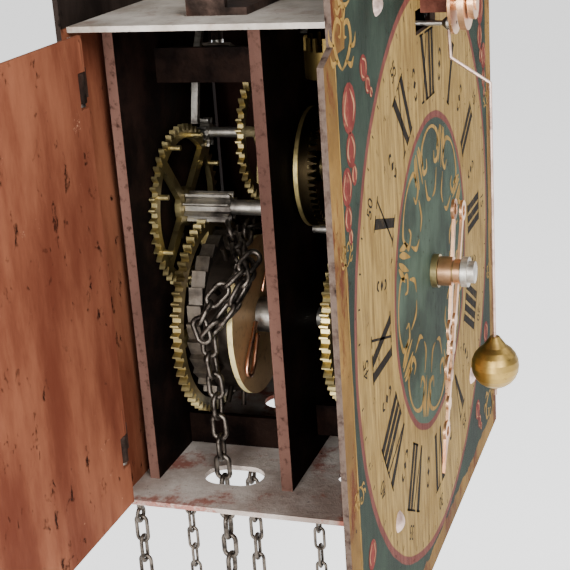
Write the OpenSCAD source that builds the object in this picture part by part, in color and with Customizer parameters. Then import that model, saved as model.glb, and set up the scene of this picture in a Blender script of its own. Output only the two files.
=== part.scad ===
// Small iron wall clock with a short pendulum that beats in front of its painted dial.
// Two trains stand one behind the other: the striking train behind, the going train in front.
// X is to the right as seen from the front, Y runs into the case, Z is up. The origin is the
// centre of the hanging hole, on the rear face of the back plate.

/* [Case] */
// Half width of the base and top plates
case_half_w = 48; // [46:0.5:54]
// Thickness of the sheet of the case
sheet_t = 1.5; // [1:0.1:2]
// Depth from the front face of the dial to the front face of the back plate
case_depth = 84.2; // [84:0.2:90]
// Height of the upper face of the base below the hand arbor
floor_drop = 58; // [57:0.5:62]
// Height of the underside of the top plate above the hand arbor
roof_rise = 78; // [77.5:0.5:82]
// Half width of the back plate
back_half_w = 51.2; // [50.8:0.1:51.4]
// Height of the top of the back plate above the top plate
back_rise = 52; // [48:1:60]
// Distance of the hanging hole below the top of the back plate
hang_drop = 14; // [12:1:18]
// Radius of the hanging hole
hang_r = 3.2; // [2.5:0.1:4]
// Height of the flanges that carry the dial
flange_h = 9; // [8:0.5:11]
// Half width of the flanges that carry the dial
flange_half_w = 56; // [55:0.5:60]

/* [Dial] */
// Thickness of the dial plate
dial_t = 1.5; // [1.2:0.1:1.8]
// Half width of the dial plate below its shoulders
dial_half_w = 95.5; // [92:0.5:100]
// Half width of the dial plate above its shoulders
dial_neck_half_w = 88; // [84:0.5:90]
// Drop of the lower edge of the dial plate below the hand arbor
dial_drop = 91; // [88:0.5:96]
// Height of the shoulders above the hand arbor
dial_shoulder = 80; // [78:0.5:84]
// Height of the straight sides' upper end above the hand arbor
dial_cheek = 98; // [94:1:102]
// Radius of the arched head of the dial plate
dial_arch_r = 62; // [58:1:66]
// Height of the centre of the arched head above the hand arbor
dial_arch_z = 92; // [88:1:96]
// Half width of the slot for the pallet arbor
dial_slot_half_w = 12; // [8:0.5:13]
// Height of the slot for the pallet arbor
dial_slot_h = 6.5; // [5.5:0.1:7]
// Radius of the hole for the hand pipes
dial_hole_r = 3.6; // [3.5:0.05:4]
// Distance of the dial rivets from the middle
dial_rivet_x = 51; // [48:0.5:53]
// Radius of a dial rivet's domed head
dial_rivet_head_r = 3; // [2.5:0.1:3.4]
// Radius of a dial rivet's shank
dial_rivet_r = 1.4; // [1.2:0.1:1.6]

/* [Movement plates] */
// Half width of the movement plates
plate_half_w = 34; // [33:0.5:36]
// Thickness of the front plate
front_plate_t = 3; // [2.5:0.1:3.4]
// Distance of the front plate behind the front face of the dial
front_plate_y = 8; // [7.9:0.1:8.4]
// Thickness of the middle plate
middle_plate_t = 3.4; // [3:0.1:3.6]
// Distance of the middle plate behind the front face of the dial
middle_plate_y = 36; // [36:0.1:36.4]
// Thickness of the rear plate
rear_plate_t = 3; // [2.5:0.1:3.2]
// Distance of the rear plate behind the front face of the dial
rear_plate_y = 78.2; // [78.1:0.1:78.4]
// Thickness of the rails between the plates
rail_t = 2; // [1.6:0.1:2.6]
// Height of the rails
rail_h = 10; // [8:0.5:11]
// Radius of the pivots of the arbors
pivot_r = 1; // [0.9:0.05:1.1]
// Radial play of a pivot in its hole
pivot_play = 0.05; // [0.03:0.01:0.08]
// End play of an arbor between its plates
end_play = 0.2; // [0.1:0.05:0.3]

/* [Striking train] */
// Drop of both great arbors below the hand arbor
great_drop = 16.4; // [16.4:0.1:16.6]
// Tooth module of the wheels
wheel_module = 1; // [0.98:0.01:1]
// Teeth of the striking great wheel
strike_great_teeth = 60; // [60:1:60]
// Teeth of the striking second wheel
strike_second_teeth = 48; // [48:1:48]
// Teeth of the striking third wheel
strike_third_teeth = 40; // [40:1:40]
// Leaves of the pinions
pinion_leaves = 8; // [8:1:8]
// Leaves of the fast pinions
fast_leaves = 6; // [6:1:6]
// Thickness of the great wheels
great_wheel_t = 2.6; // [2:0.1:2.8]
// Thickness of the other wheels
wheel_t = 1.8; // [1.4:0.1:1.9]
// Radius of the great arbors
great_arbor_r = 3; // [2.6:0.1:3.4]
// Radius of the other arbors
arbor_r = 1.6; // [1.4:0.1:1.8]
// Length of a blade of the fly from the arbor's middle
fly_reach = 16; // [13:0.5:17]
// Width of the fly along its arbor
fly_w = 9; // [7:0.5:10]
// Thickness of the sheet of the fly
fly_t = 0.8; // [0.6:0.1:1]
// Teeth of the count wheel
count_teeth = 60; // [60:1:60]
// Tooth module of the count wheel
count_module = 0.7; // [0.68:0.01:0.7]

/* [Chains] */
// Pitch of the chains
chain_pitch = 6.65; // [6.6:0.01:6.7]
// Radius of the chain wire
chain_wire_r = 0.56; // [0.5:0.01:0.6]
// Outer width of a chain link
chain_w = 4.5; // [4.4:0.05:4.6]
// Play between neighbouring links
link_play = 0.5; // [0.4:0.05:0.6]
// Pitches on half a turn of the striking pulley
strike_half_pitches = 13; // [13:1:13]
// Pitches on half a turn of the going pulley
going_half_pitches = 10; // [10:1:10]
// Links of the weighted run below the pulley's middle
run_links = 18; // [16:1:20]
// Links of the tail run below the pulley's middle
tail_links = 8; // [7:1:10]
// Wire radius of the fine chains
fine_wire_r = 0.45; // [0.4:0.01:0.5]
// Pitch of the fine chains
fine_pitch = 6; // [5.8:0.05:6.2]
// Outer width of a link of the fine chains
fine_w = 3.8; // [3.7:0.05:3.9]
// Links of each hanging chain
hang_links = 5; // [4:1:6]
// Radius of the weights
weight_r = 15; // [12:0.5:16]
// Height of the weights
weight_h = 62; // [50:1:80]

/* [Going train] */
// Teeth of the going great wheel
going_great_teeth = 48; // [48:1:48]
// Teeth of the going second wheel
going_second_teeth = 42; // [42:1:42]
// Tooth module of the going second wheel
fine_module = 0.8; // [0.79:0.01:0.8]
// Teeth of the contrate wheel
contrate_teeth = 54; // [54:1:54]
// Middle radius of the contrate wheel's teeth
contrate_r = 16.7; // [16.4:0.05:16.75]
// Teeth of the crown wheel
crown_teeth = 15; // [15:1:15]
// Radius of the crown wheel
crown_r = 7.5; // [7:0.1:7.8]
// Height of the pallet arbor above the hand arbor
verge_z = 71.5; // [71:0.1:72]
// Radius of the pallet arbor
verge_r = 0.7; // [0.6:0.05:0.8]
// Length of a pallet from the arbor's axis
pallet_l = 2.6; // [2.4:0.1:2.7]
// Angle of each pallet from straight down
pallet_angle = 50; // [46:1:52]
// Distance of the pendulum wire in front of the dial
pendulum_y = 17.5; // [17:0.1:18.5]
// Radius of the pendulum wire
pendulum_r = 0.45; // [0.4:0.05:0.5]
// Distance of the bob's middle below the pallet arbor
bob_drop = 100; // [90:1:106]
// Radius of the bob
bob_r = 7; // [6:0.1:7.5]

/* [Hands] */
// Radius of the fixed stud that carries the hands
stud_r = 1.2; // [1:0.05:1.3]
// Outer radius of the minute pipe
minute_pipe_r = 2.1; // [2:0.05:2.2]
// Outer radius of the hour pipe
hour_pipe_r = 3.1; // [3:0.05:3.2]
// Radial play between the pipes
pipe_play = 0.06; // [0.04:0.01:0.08]
// Tooth module of the hour train
motion_module = 0.6; // [0.6:0.01:0.6]
// Thickness of the motion wheels
motion_t = 1.2; // [1:0.05:1.25]
// Length of the minute hand
minute_l = 58; // [50:1:62]
// Length of the hour hand
hour_l = 40; // [34:1:44]
// Thickness of the hands
hand_t = 0.8; // [0.6:0.05:0.9]
// Direction of the minute hand, clockwise from twelve
minute_at = 207.5; // [180:0.5:240]
// Direction of the hour hand, clockwise from twelve
hour_at = 197; // [180:0.5:210]

/* [Doors and bell] */
// Thickness of the side doors
door_t = 1.2; // [1:0.1:1.4]
// Play around the side doors
door_play = 0.4; // [0.3:0.05:0.6]
// Angle to which the left door stands open
door_open = 90; // [60:1:100]
// Outer radius of the bell
bell_r = 33; // [28:0.5:34]
// Thickness of the bell
bell_t = 2; // [1.5:0.1:2.5]
// Distance of the bell's middle behind the front face of the dial
bell_y = 45; // [44:0.5:47]
// Height of the bell's rim above the top plate
bell_lift = 34; // [30:1:38]

/* [Hidden] */
$fn = 64;
far = 400;
back_y = case_depth + sheet_t;
roof_top = roof_rise + sheet_t;
back_top = roof_top + back_rise;
hang_z = back_top - hang_drop;

module place() translate([0, -back_y, -hang_z]) children();

// A flat shape drawn in X and Z, standing between two distances behind the dial's front face
module slab(y0, y1) translate([0, y1, 0]) rotate([90, 0, 0]) linear_extrude(y1 - y0) children();

// A round bar along Y
module bar(x, z, r, y0, y1) translate([x, y1, z]) rotate([90, 0, 0]) cylinder(r = r, h = y1 - y0);

// A plate lying flat between two heights
module sheet(z0, z1) translate([0, 0, z0]) linear_extrude(z1 - z0) children();

module box_from(a, b) translate(a) cube(b - a);

// A round wire along a list of points, with round knees
module wire(points, r) union() {
  for (i = [0 : len(points) - 2]) {
    d = points[i + 1] - points[i];
    translate(points[i])
      rotate([0, acos(d[2] / norm(d)), atan2(d[1], d[0])]) cylinder(r = r, h = norm(d));
  }
  for (i = [1 : 1 : len(points) - 2]) translate(points[i]) sphere(r = r);
}

function unit(v) = v / norm(v);
function left_of(v) = [-v[1], v[0]];

// How far each point of a line moves aside for a line one unit to its left
function miter(p, i) = let (last = len(p) - 1,
    before = left_of(unit(p[max(i, 1)] - p[max(i, 1) - 1])),
    after = left_of(unit(p[min(i, last - 1) + 1] - p[min(i, last - 1)])))
  (before + after) / (1 + before * after);

// A flat band along a list of points, with mitred knees
module strip(points, w) polygon(concat(
  [for (i = [0 : len(points) - 1]) points[i] + miter(points, i) * w / 2],
  [for (i = [len(points) - 1 : -1 : 0]) points[i] - miter(points, i) * w / 2]));

function polar(r, a) = [r * cos(a), r * sin(a)];

// Outline of a toothed wheel: each tooth narrows from its root to its tip
function teeth(n, m, lift, sink, widths, phase) = [
  for (i = [0 : n - 1])
    for (p = [[-sink, -widths[0]], [0, -widths[1]], [lift, -widths[2]],
              [lift, widths[2]], [0, widths[1]], [-sink, widths[0]]])
      polar(n * m / 2 + p[0] * m, phase + (i + p[1] / 2) * 360 / n)];

wheel_widths = [0.6, 0.4, 0.14];
leaf_widths = [0.36, 0.3, 0.1];
wheel_lift = 0.9;
wheel_sink = 1.1;
leaf_lift = 0.7;
leaf_sink = 1.15;

module wheel_teeth(n, m, phase) polygon(teeth(n, m, wheel_lift, wheel_sink, wheel_widths, phase));
module leaf_teeth(n, m, phase) polygon(teeth(n, m, leaf_lift, leaf_sink, leaf_widths, phase));

rim_w = 2.2;
arm_w = 3.2;

// A crossed-out wheel with four arms
module crossed(n, m, phase, hub_r, hole_r) difference() {
  wheel_teeth(n, m, phase);
  difference() {
    circle(r = n * m / 2 - rim_w * m - wheel_sink * m);
    circle(r = hub_r);
    for (a = [0, 90]) rotate(a + phase) square([n * m, arm_w], center = true);
  }
  circle(r = hole_r);
}

great_z = -great_drop;
great_pivot_r = 1.6;
great_boss_r = 5.4;
fit_play = 0.03;
front_face = front_plate_y + front_plate_t;
middle_face = middle_plate_y + middle_plate_t;
rear_face = rear_plate_y + rear_plate_t;

second_z = great_z + (strike_great_teeth + pinion_leaves) * wheel_module / 2;
third_gap = (strike_second_teeth + pinion_leaves) * wheel_module / 2;
third_turn = 40;
third_at = [0, second_z] + polar(third_gap, third_turn);
fly_gap = (strike_third_teeth + fast_leaves) * wheel_module / 2;
fly_turn = 76;
fly_at = third_at + polar(fly_gap, fly_turn);
count_leaves = 10;
count_z = great_z + (count_teeth + count_leaves) * count_module / 2;

going_second_z = great_z + (going_great_teeth + pinion_leaves) * wheel_module / 2;
contrate_z = going_second_z + (going_second_teeth + fast_leaves) * fine_module / 2;
contrate_module = 2 * contrate_r / contrate_teeth;

strike_r = strike_half_pitches * chain_pitch / PI;
going_r = going_half_pitches * chain_pitch / PI;
strike_chain_y = 60;
going_chain_y = 19.4;

slot_half_w = 6.1;
slot_half_l = 9.2;
slot_y = 56.5;
going_slot_half_w = 5;
going_slot_half_l = 6.5;

flange_t = 1.5;
rivet_low = -floor_drop + flange_h / 2 - 1;
rivet_high = roof_top + flange_h / 2;

module rivet_holes(y0, y1) {
  for (x = [-dial_rivet_x, dial_rivet_x], z = [rivet_low, rivet_high])
    bar(x, z, dial_rivet_r + fit_play, y0, y1);
}

// Case plates
module base_plate() color("#9b8a85") place() difference() {
  union() {
    sheet(-floor_drop - sheet_t, -floor_drop)
      translate([-case_half_w, dial_t]) square([2 * case_half_w, back_y - sheet_t - dial_t]);
    box_from([-flange_half_w, dial_t, -floor_drop - sheet_t],
             [flange_half_w, dial_t + flange_t, -floor_drop + flange_h - sheet_t]);
  }
  sheet(-far, far) for (s = [-1, 1]) {
    square_slot(s * strike_r, slot_y, slot_half_w, slot_half_l);
    square_slot(s * going_r, going_chain_y, going_slot_half_w, going_slot_half_l);
  }
  rivet_holes(0, front_plate_y);
}

// A slot with round ends along Y
module square_slot(x, y, half_w, half_l) {
  translate([x - half_w, y - half_l + half_w]) square([2 * half_w, 2 * (half_l - half_w)]);
  for (s = [-1, 1]) translate([x, y + s * (half_l - half_w)]) circle(r = half_w);
}

strap_slot = [[-33.5, 45], [-28.5, 57.5]];
hammer_x = 30;
hammer_z = roof_top + 9;
hammer_slot = [[18, 72.2], [31.5, 76.8]];

module top_plate() color("#8f857b") place() difference() {
  union() {
    sheet(roof_rise, roof_top)
      translate([-case_half_w, dial_t]) square([2 * case_half_w, back_y - sheet_t - dial_t]);
    box_from([-flange_half_w, dial_t, roof_rise],
             [flange_half_w, dial_t + flange_t, roof_top + flange_h]);
  }
  sheet(-far, far) {
    translate(strap_slot[0]) square(strap_slot[1] - strap_slot[0]);
    translate(hammer_slot[0]) square(hammer_slot[1] - hammer_slot[0]);
  }
  rivet_holes(0, front_plate_y);
}

module back_plate() color("#2b2522") place() difference() {
  slab(case_depth, back_y) union() {
    translate([-back_half_w, -floor_drop - sheet_t]) square([2 * back_half_w, roof_top + floor_drop + sheet_t]);
    translate([-back_half_w, roof_top - 1]) square([2 * back_half_w, back_rise / 2 + 1]);
    translate([-back_neck_half_w, roof_top]) square([2 * back_neck_half_w, back_rise - back_neck_half_w]);
    translate([0, back_top - back_neck_half_w]) circle(r = back_neck_half_w);
  }
  bar(0, hang_z, hang_r, case_depth - 1, back_y + 1);
}
back_neck_half_w = 22;

// Dial
module dial_outline() union() {
  translate([-dial_half_w, -dial_drop]) square([2 * dial_half_w, dial_drop + dial_shoulder - shoulder_h]);
  polygon([[-dial_half_w, dial_shoulder - shoulder_h - 1], [dial_half_w, dial_shoulder - shoulder_h - 1],
           [dial_half_w, dial_shoulder - shoulder_h], [dial_neck_half_w, dial_shoulder],
           [dial_neck_half_w, dial_cheek], [-dial_neck_half_w, dial_cheek],
           [-dial_neck_half_w, dial_shoulder], [-dial_half_w, dial_shoulder - shoulder_h]]);
  translate([0, dial_arch_z]) circle(r = dial_arch_r, $fn = 96);
}
shoulder_h = 3;
dial_slot_z = 70;

module dial_plate() color("#7d7256") place() difference() {
  slab(0, dial_t) dial_outline();
  box_from([-dial_slot_half_w, -1, dial_slot_z],
           [dial_slot_half_w, dial_t + 1, dial_slot_z + dial_slot_h]);
  bar(0, 0, dial_hole_r, -1, dial_t + 1);
  rivet_holes(-1, dial_t + 1);
}

rivet_dome_h = 1.6;
module dial_rivets() color("#c9aaa0") place()
  for (x = [-dial_rivet_x, dial_rivet_x], z = [rivet_low, rivet_high]) {
    bar(x, z, dial_rivet_r, -0.2, dial_t + flange_t + 1);
    translate([x, 0, z]) rotate([90, 0, 0]) rotate_extrude() intersection() {
      translate([0, rivet_dome_h - dome_r]) circle(r = dome_r);
      square([dial_rivet_head_r, rivet_dome_h]);
    }
  }
dome_r = (dial_rivet_head_r * dial_rivet_head_r + rivet_dome_h * rivet_dome_h) / 2 / rivet_dome_h;

bush_r = 4.9;
bush_t = 1.8;
module dial_bush() color("#b59a5e") place() difference() {
  union() {
    bar(0, 0, bush_r, -bush_t, 0);
    bar(0, 0, dial_hole_r - fit_play, -bush_t, dial_t);
  }
  bar(0, 0, hour_pipe_r + 0.1, -bush_t - 1, dial_t + 1);
}

// Movement plates
module plate_outline() translate([-plate_half_w, -floor_drop])
  square([2 * plate_half_w, floor_drop + roof_rise]);

module pivot_hole(x, z, r, y0, y1) bar(x, z, r + pivot_play, y0 - 1, y1 + 1);

module front_plate() color("#37302c") place() difference() {
  slab(front_plate_y, front_face) plate_outline();
  pivot_hole(0, great_z, great_pivot_r, front_plate_y, front_face);
  pivot_hole(0, going_second_z, pivot_r, front_plate_y, front_face);
  pivot_hole(0, contrate_z, pivot_r, front_plate_y, front_face);
  bar(0, verge_z, verge_r + 1.6, front_plate_y - 1, front_face + 1);
  bar(0, 0, stud_r + fit_play, front_plate_y - 1, front_face + 1);
  bar(middle_stud_x, 0, pivot_r + fit_play, front_plate_y - 1, front_face + 1);
  for (z = [rail_front_z, rail_front_z + bracket_span])
    bar(0, z, pivot_r + fit_play, front_plate_y - 1, front_face + 1);
}
rail_front_z = 38;
bracket_span = 18;

module middle_plate() color("#3b322d") place() difference() {
  slab(middle_plate_y, middle_face) plate_outline();
  pivot_hole(0, great_z, great_pivot_r, middle_plate_y, middle_face);
  pivot_hole(0, going_second_z, pivot_r, middle_plate_y, middle_face);
  pivot_hole(0, contrate_z, pivot_r, middle_plate_y, middle_face);
  pivot_hole(0, second_z, pivot_r, middle_plate_y, middle_face);
  pivot_hole(third_at[0], third_at[1], pivot_r, middle_plate_y, middle_face);
  pivot_hole(fly_at[0], fly_at[1], pivot_r, middle_plate_y, middle_face);
  pivot_hole(0, verge_z, verge_r, middle_plate_y, middle_face);
}

module rear_plate() color("#3b322d") place() {
  difference() {
    slab(rear_plate_y, rear_face) plate_outline();
    pivot_hole(0, great_z, great_pivot_r, rear_plate_y, rear_face);
    pivot_hole(0, second_z, pivot_r, rear_plate_y, rear_face);
    pivot_hole(third_at[0], third_at[1], pivot_r, rear_plate_y, rear_face);
    pivot_hole(fly_at[0], fly_at[1], pivot_r, rear_plate_y, rear_face);
    bar(0, count_z, pivot_r + fit_play, rear_plate_y - 1, rear_face + 1);
  }
}

rail_x = -8;
lower_rail_z = -47.9;
front_rail_z = -42;
upper_rail_z = 67;
module rail(z, y0, y1) box_from([rail_x, y0, z - rail_h], [rail_x + rail_t, y1, z]);
module lower_rail() color("#2e2825") place() rail(lower_rail_z, middle_face, rear_plate_y);
module upper_rail() color("#2e2825") place() rail(upper_rail_z, middle_face, rear_plate_y);
module front_rail() color("#2e2825") place() rail(front_rail_z, front_face, middle_plate_y);

// Hinges of the side doors, on upright pins at the rear corners
hinge_x = case_half_w + 2.6;
hinge_y = case_depth - 2.4;
door_lap = 1.3;
knuckle_r = 2.3;
hinge_pin_r = 1.1;
knuckle_h = 8;
hinge_low = -44;
hinge_high = 60;
door_low = -floor_drop + door_play;
door_high = roof_rise - door_play;
door_reach = hinge_y - dial_t - flange_t - door_play;

module upright(x, y, r, z0, z1) translate([x, y, z0]) cylinder(r = r, h = z1 - z0);

module hinge_straps() color("#6f675f") place()
  for (s = [-1, 1], z = [hinge_low, hinge_high]) difference() {
    union() {
      upright(s * hinge_x, hinge_y, knuckle_r, z, z + knuckle_h);
      box_from([min(s * (back_half_w - 9), s * hinge_x), case_depth - strap_t, z],
               [max(s * (back_half_w - 9), s * hinge_x), case_depth, z + knuckle_h]);
      box_from([min(s * hinge_x, s * (hinge_x - knuckle_r)), hinge_y, z],
               [max(s * hinge_x, s * (hinge_x - knuckle_r)), case_depth, z + knuckle_h]);
    }
    upright(s * hinge_x, hinge_y, hinge_pin_r + fit_play, z - 1, z + knuckle_h + 1);
  }
strap_t = 1.2;

module hinge_pins() color("#8b857c") place()
  for (s = [-1, 1], z = [hinge_low, hinge_high]) {
    upright(s * hinge_x, hinge_y, hinge_pin_r, z, z + 2 * knuckle_h + end_play + 1);
    upright(s * hinge_x, hinge_y, hinge_pin_r + 0.7, z - 1, z);
  }

// A door drawn shut on the right side: its sheet lies outside the base and top plates, and is cut
// away round the fixed knuckles
module door_leaf() difference() {
  union() {
    difference() {
      box_from([case_half_w + door_play, hinge_y - door_reach, door_low],
               [case_half_w + door_play + door_t, hinge_y + door_lap, door_high]);
      for (z = [hinge_low, hinge_high])
        box_from([case_half_w, hinge_y - knuckle_r - 0.6, z - 1.4],
                 [hinge_x, case_depth, z + knuckle_h + end_play]);
    }
    for (z = [hinge_low, hinge_high]) {
      upright(hinge_x, hinge_y, knuckle_r, z + knuckle_h + end_play, z + 2 * knuckle_h);
    }
    bar_x(case_half_w + door_play + door_t, case_half_w + door_play + door_t + knob_l,
          hinge_y - door_reach + knob_in, knob_z, knob_r);
  }
  upright(hinge_x, hinge_y, hinge_pin_r + pivot_play, -far, far);
}
knob_l = 4;
knob_in = 8;
knob_z = 8;
knob_r = 2.5;

// A round bar along X
module bar_x(x0, x1, y, z, r) translate([x0, y, z]) rotate([0, 90, 0]) cylinder(r = r, h = x1 - x0);

module right_door() color("#5b2f22") place() door_leaf();

module left_door() color("#8a4a36") place()
  translate([-hinge_x, hinge_y]) rotate([0, 0, -door_open]) translate([hinge_x, -hinge_y])
    mirror([1, 0, 0]) door_leaf();

// Arbors: a round body between shoulders, with a pivot at each end
pivot_l = 1.6;
module arbor(x, z, r, y0, y1, pr) union() {
  bar(x, z, r, y0 + end_play, y1 - end_play);
  bar(x, z, pr, y0 - pivot_l, y1 + pivot_l);
}

module wheel_at(x, z, y0, y1) translate([x, 0, z]) slab(y0, y1) children();

great_wheel_y = 69;
ratchet_y = [64.3, 68.6];
pulley_y = [56.6, 64];
disc_y = [54.8, 56.4];

module strike_arbor() color("#8f8a82") place() union() {
  bar(0, great_z, great_arbor_r, middle_face + end_play, rear_plate_y - end_play);
  bar(0, great_z, great_boss_r, middle_face + end_play, disc_y[0] - 0.2);
  bar(0, great_z, great_pivot_r, middle_face - pivot_l, count_y0 + motion_t);
  wheel_at(0, great_z, count_y0, count_y0 + motion_t) leaf_teeth(count_leaves, count_module, 90);
}
count_y0 = rear_face + 0.5;

module strike_great_wheel() color("#b5a06a") place()
  wheel_at(0, great_z, great_wheel_y, great_wheel_y + great_wheel_t)
    crossed(strike_great_teeth, wheel_module, 90, 8, great_arbor_r + fit_play);

ratchet_r = 26;
ratchet_teeth = 30;
module strike_ratchet() color("#8a8880") place() wheel_at(0, great_z, ratchet_y[0], ratchet_y[1])
  difference() {
    polygon([for (i = [0 : ratchet_teeth - 1]) for (p = [[0, 0], [-1.6, 0.9]])
      polar(ratchet_r + p[0], (i + p[1]) * 360 / ratchet_teeth)]);
    circle(r = great_arbor_r + fit_play);
  }

pulley_drop = chain_w / 2 + 1.4;
spike_r = 0.8;
spike_out = 1.2;
// The first spike stands in the first flat link, half a pitch above the pulley's middle
spike_phase = 0.25;
module pulley(r, n, y0, y1, y) difference() {
  union() {
    bar(0, great_z, r - pulley_drop, y0, y1);
    for (i = [0 : n - 1]) translate([0, y, great_z])
      rotate([0, (i + spike_phase) * 360 / n - 90, 0])
        translate([0, 0, r - pulley_drop - 1]) cylinder(r = spike_r, h = pulley_drop + 1 + spike_out);
  }
  bar(0, great_z, great_arbor_r + fit_play, y0 - 1, y1 + 1);
}
module strike_pulley() color("#7f7b74") place()
  pulley(strike_r, strike_half_pitches, pulley_y[0], pulley_y[1], strike_chain_y);

module strike_disc() color("#b3a169") place() difference() {
  bar(0, great_z, disc_r, disc_y[0], disc_y[1]);
  bar(0, great_z, great_arbor_r + fit_play, disc_y[0] - 1, disc_y[1] + 1);
}
disc_r = 24.4;

module strike_click_spring() color("#b0714a") place()
  slab(disc_y[0] - spring_wire_w, disc_y[0]) strip([[-9, great_z + 22], [-11, great_z + 14],
    [-12, great_z + 4], [-14, great_z], [-16.5, great_z - 5], [-16.5, great_z - 11],
    [-13.5, great_z - 12], [-11.5, great_z - 5], [-9.5, great_z - 1]], spring_wire_w);
spring_wire_w = 1.1;

// Chain links: two straight sides and two round ends
module link(pitch, r, w) {
  bend_r = w / 2 - r;
  half = (pitch + link_play) / 2 + r - bend_r;
  union() {
    for (t = [0, 180]) rotate([0, t, 0]) translate([0, 0, half]) rotate([90, 0, 0])
      rotate_extrude(angle = 180, $fn = 24) translate([bend_r, 0]) circle(r = r);
    for (s = [-1, 1]) translate([s * bend_r, 0, -half]) cylinder(r = r, h = 2 * half);
  }
}
module chain_link(flat) rotate([0, 0, flat ? 90 : 0]) link(chain_pitch, chain_wire_r, chain_w);

// A chain over its pulley: the weighted run on the left, the tail run on the right
module pulley_chain(r, n, y) translate([0, y, great_z]) {
  for (i = [0 : n - 1]) rotate([0, (i + 0.5) * 180 / n, 0]) translate([-r, 0, 0])
    chain_link(i % 2 == 0);
  for (k = [0 : run_links - 1]) translate([-r, 0, -(k + 0.5) * chain_pitch]) chain_link(k % 2 == 1);
  for (k = [0 : tail_links - 1]) translate([r, 0, -(k + 0.5) * chain_pitch])
    chain_link((k + n) % 2 == 0);
}
module strike_chain() color("#6e6a66") place() pulley_chain(strike_r, strike_half_pitches, strike_chain_y);
module going_chain() color("#6e6a66") place() pulley_chain(going_r, going_half_pitches, going_chain_y);

eye_r = 2.4;
eye_wire_r = 0.6;
weight_neck = 6;
eye_z = great_z - (run_links - 0.5) * chain_pitch - (chain_pitch + link_play) / 2 - eye_r + eye_wire_r + 0.15;
module weight(x, y, turn) {
  translate([x, y, eye_z]) rotate([90, 0, turn]) rotate_extrude() translate([eye_r, 0]) circle(r = eye_wire_r);
  upright(x, y, 1.2, eye_z - weight_neck, eye_z - eye_r);
  translate([x, y, eye_z - weight_neck - weight_h]) rotate_extrude() polygon([
    [0, 0], [weight_r - 1, 0], [weight_r, 1], [weight_r, weight_h - 6], [weight_r - 6, weight_h], [0, weight_h]]);
}
module strike_weight() color("#4a4644") place() union() weight(-strike_r, strike_chain_y, 0);
module going_weight() color("#4a4644") place() union() weight(-going_r, going_chain_y, 0);

// Chains that hang from small hooks under the base: two fine ones and two heavy ones
hooks = [[-27.6, 72, 1], [-20, 33.5, 1], [-44.5, 80.5, 0], [-15, 56, 0]];
hook_drop = 3.4;
module chain_hooks() color("#6e6a66") place() for (h = hooks) {
  top = -floor_drop - sheet_t;
  upright(h[0], h[1], 0.9, top - hook_drop, top);
  translate([h[0], h[1], top - hook_drop - 1.5]) rotate([90, 0, 0])
    rotate_extrude() translate([2.1, 0]) circle(r = 0.6);
  for (k = [0 : hang_links - 1]) {
    pitch = h[2] == 1 ? fine_pitch : chain_pitch;
    translate([h[0], h[1], top - hook_drop - 2.95 - (k + 0.5) * pitch]) rotate([0, 0, k % 2 == 0 ? 90 : 0])
      if (h[2] == 1) link(fine_pitch, fine_wire_r, fine_w);
      else link(chain_pitch, chain_wire_r, chain_w);
  }
}

// Striking train above the great wheel
second_wheel_y = 75.6;
lift_pins = 8;
lift_pin_at = 21.8;
module second_arbor() color("#96928b") place() union() {
  arbor(0, second_z, 2.3, middle_face, rear_plate_y, pivot_r);
  wheel_at(0, second_z, 61, 75.4)
    leaf_teeth(pinion_leaves, wheel_module, 90 + 180 / pinion_leaves);
}
module second_wheel() color("#b5a06a") place() union() {
  wheel_at(0, second_z, second_wheel_y, second_wheel_y + wheel_t)
    crossed(strike_second_teeth, wheel_module, third_turn, 6, 2.3 + fit_play);
  for (i = [0 : lift_pins - 1]) {
    p = polar(lift_pin_at, i * 360 / lift_pins + 22.5);
    bar(p[0], second_z + p[1], 0.8, second_wheel_y - 3, second_wheel_y + 0.5);
  }
}

third_wheel_y = 57;
module third_arbor() color("#96928b") place() union() {
  arbor(third_at[0], third_at[1], arbor_r, middle_face, rear_plate_y, pivot_r);
  wheel_at(third_at[0], third_at[1], 74.8, 77.9)
    leaf_teeth(pinion_leaves, wheel_module, third_turn + 180 + 180 / pinion_leaves);
}
module third_wheel() color("#b5a06a") place()
  wheel_at(third_at[0], third_at[1], third_wheel_y, third_wheel_y + wheel_t)
    crossed(strike_third_teeth, wheel_module, fly_turn, 5, arbor_r + fit_play);

module fly_arbor() color("#96928b") place() union() {
  arbor(fly_at[0], fly_at[1], slim_arbor_r, middle_face, rear_plate_y, pivot_r);
  wheel_at(fly_at[0], fly_at[1], 55.8, 60)
    leaf_teeth(fast_leaves, wheel_module, fly_turn + 180 + 180 / fast_leaves);
}
fly_y = 62.5;
module fly() color("#a9a08f") place() translate([fly_at[0], 0, fly_at[1]]) rotate([0, 25, 0]) difference() {
  union() {
    box_from([-fly_reach, fly_y, -fly_t / 2], [fly_reach, fly_y + fly_w, fly_t / 2]);
    bar(0, 0, 2.1, fly_y, fly_y + fly_w);
  }
  bar(0, 0, slim_arbor_r + fit_play, fly_y - 1, fly_y + fly_w + 1);
}

module count_wheel() color("#b5a06a") place() wheel_at(0, count_z, count_y0, count_y0 + motion_t)
  crossed(count_teeth, count_module, -90 + 180 / count_teeth, 5, pivot_r + pivot_play);

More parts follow.
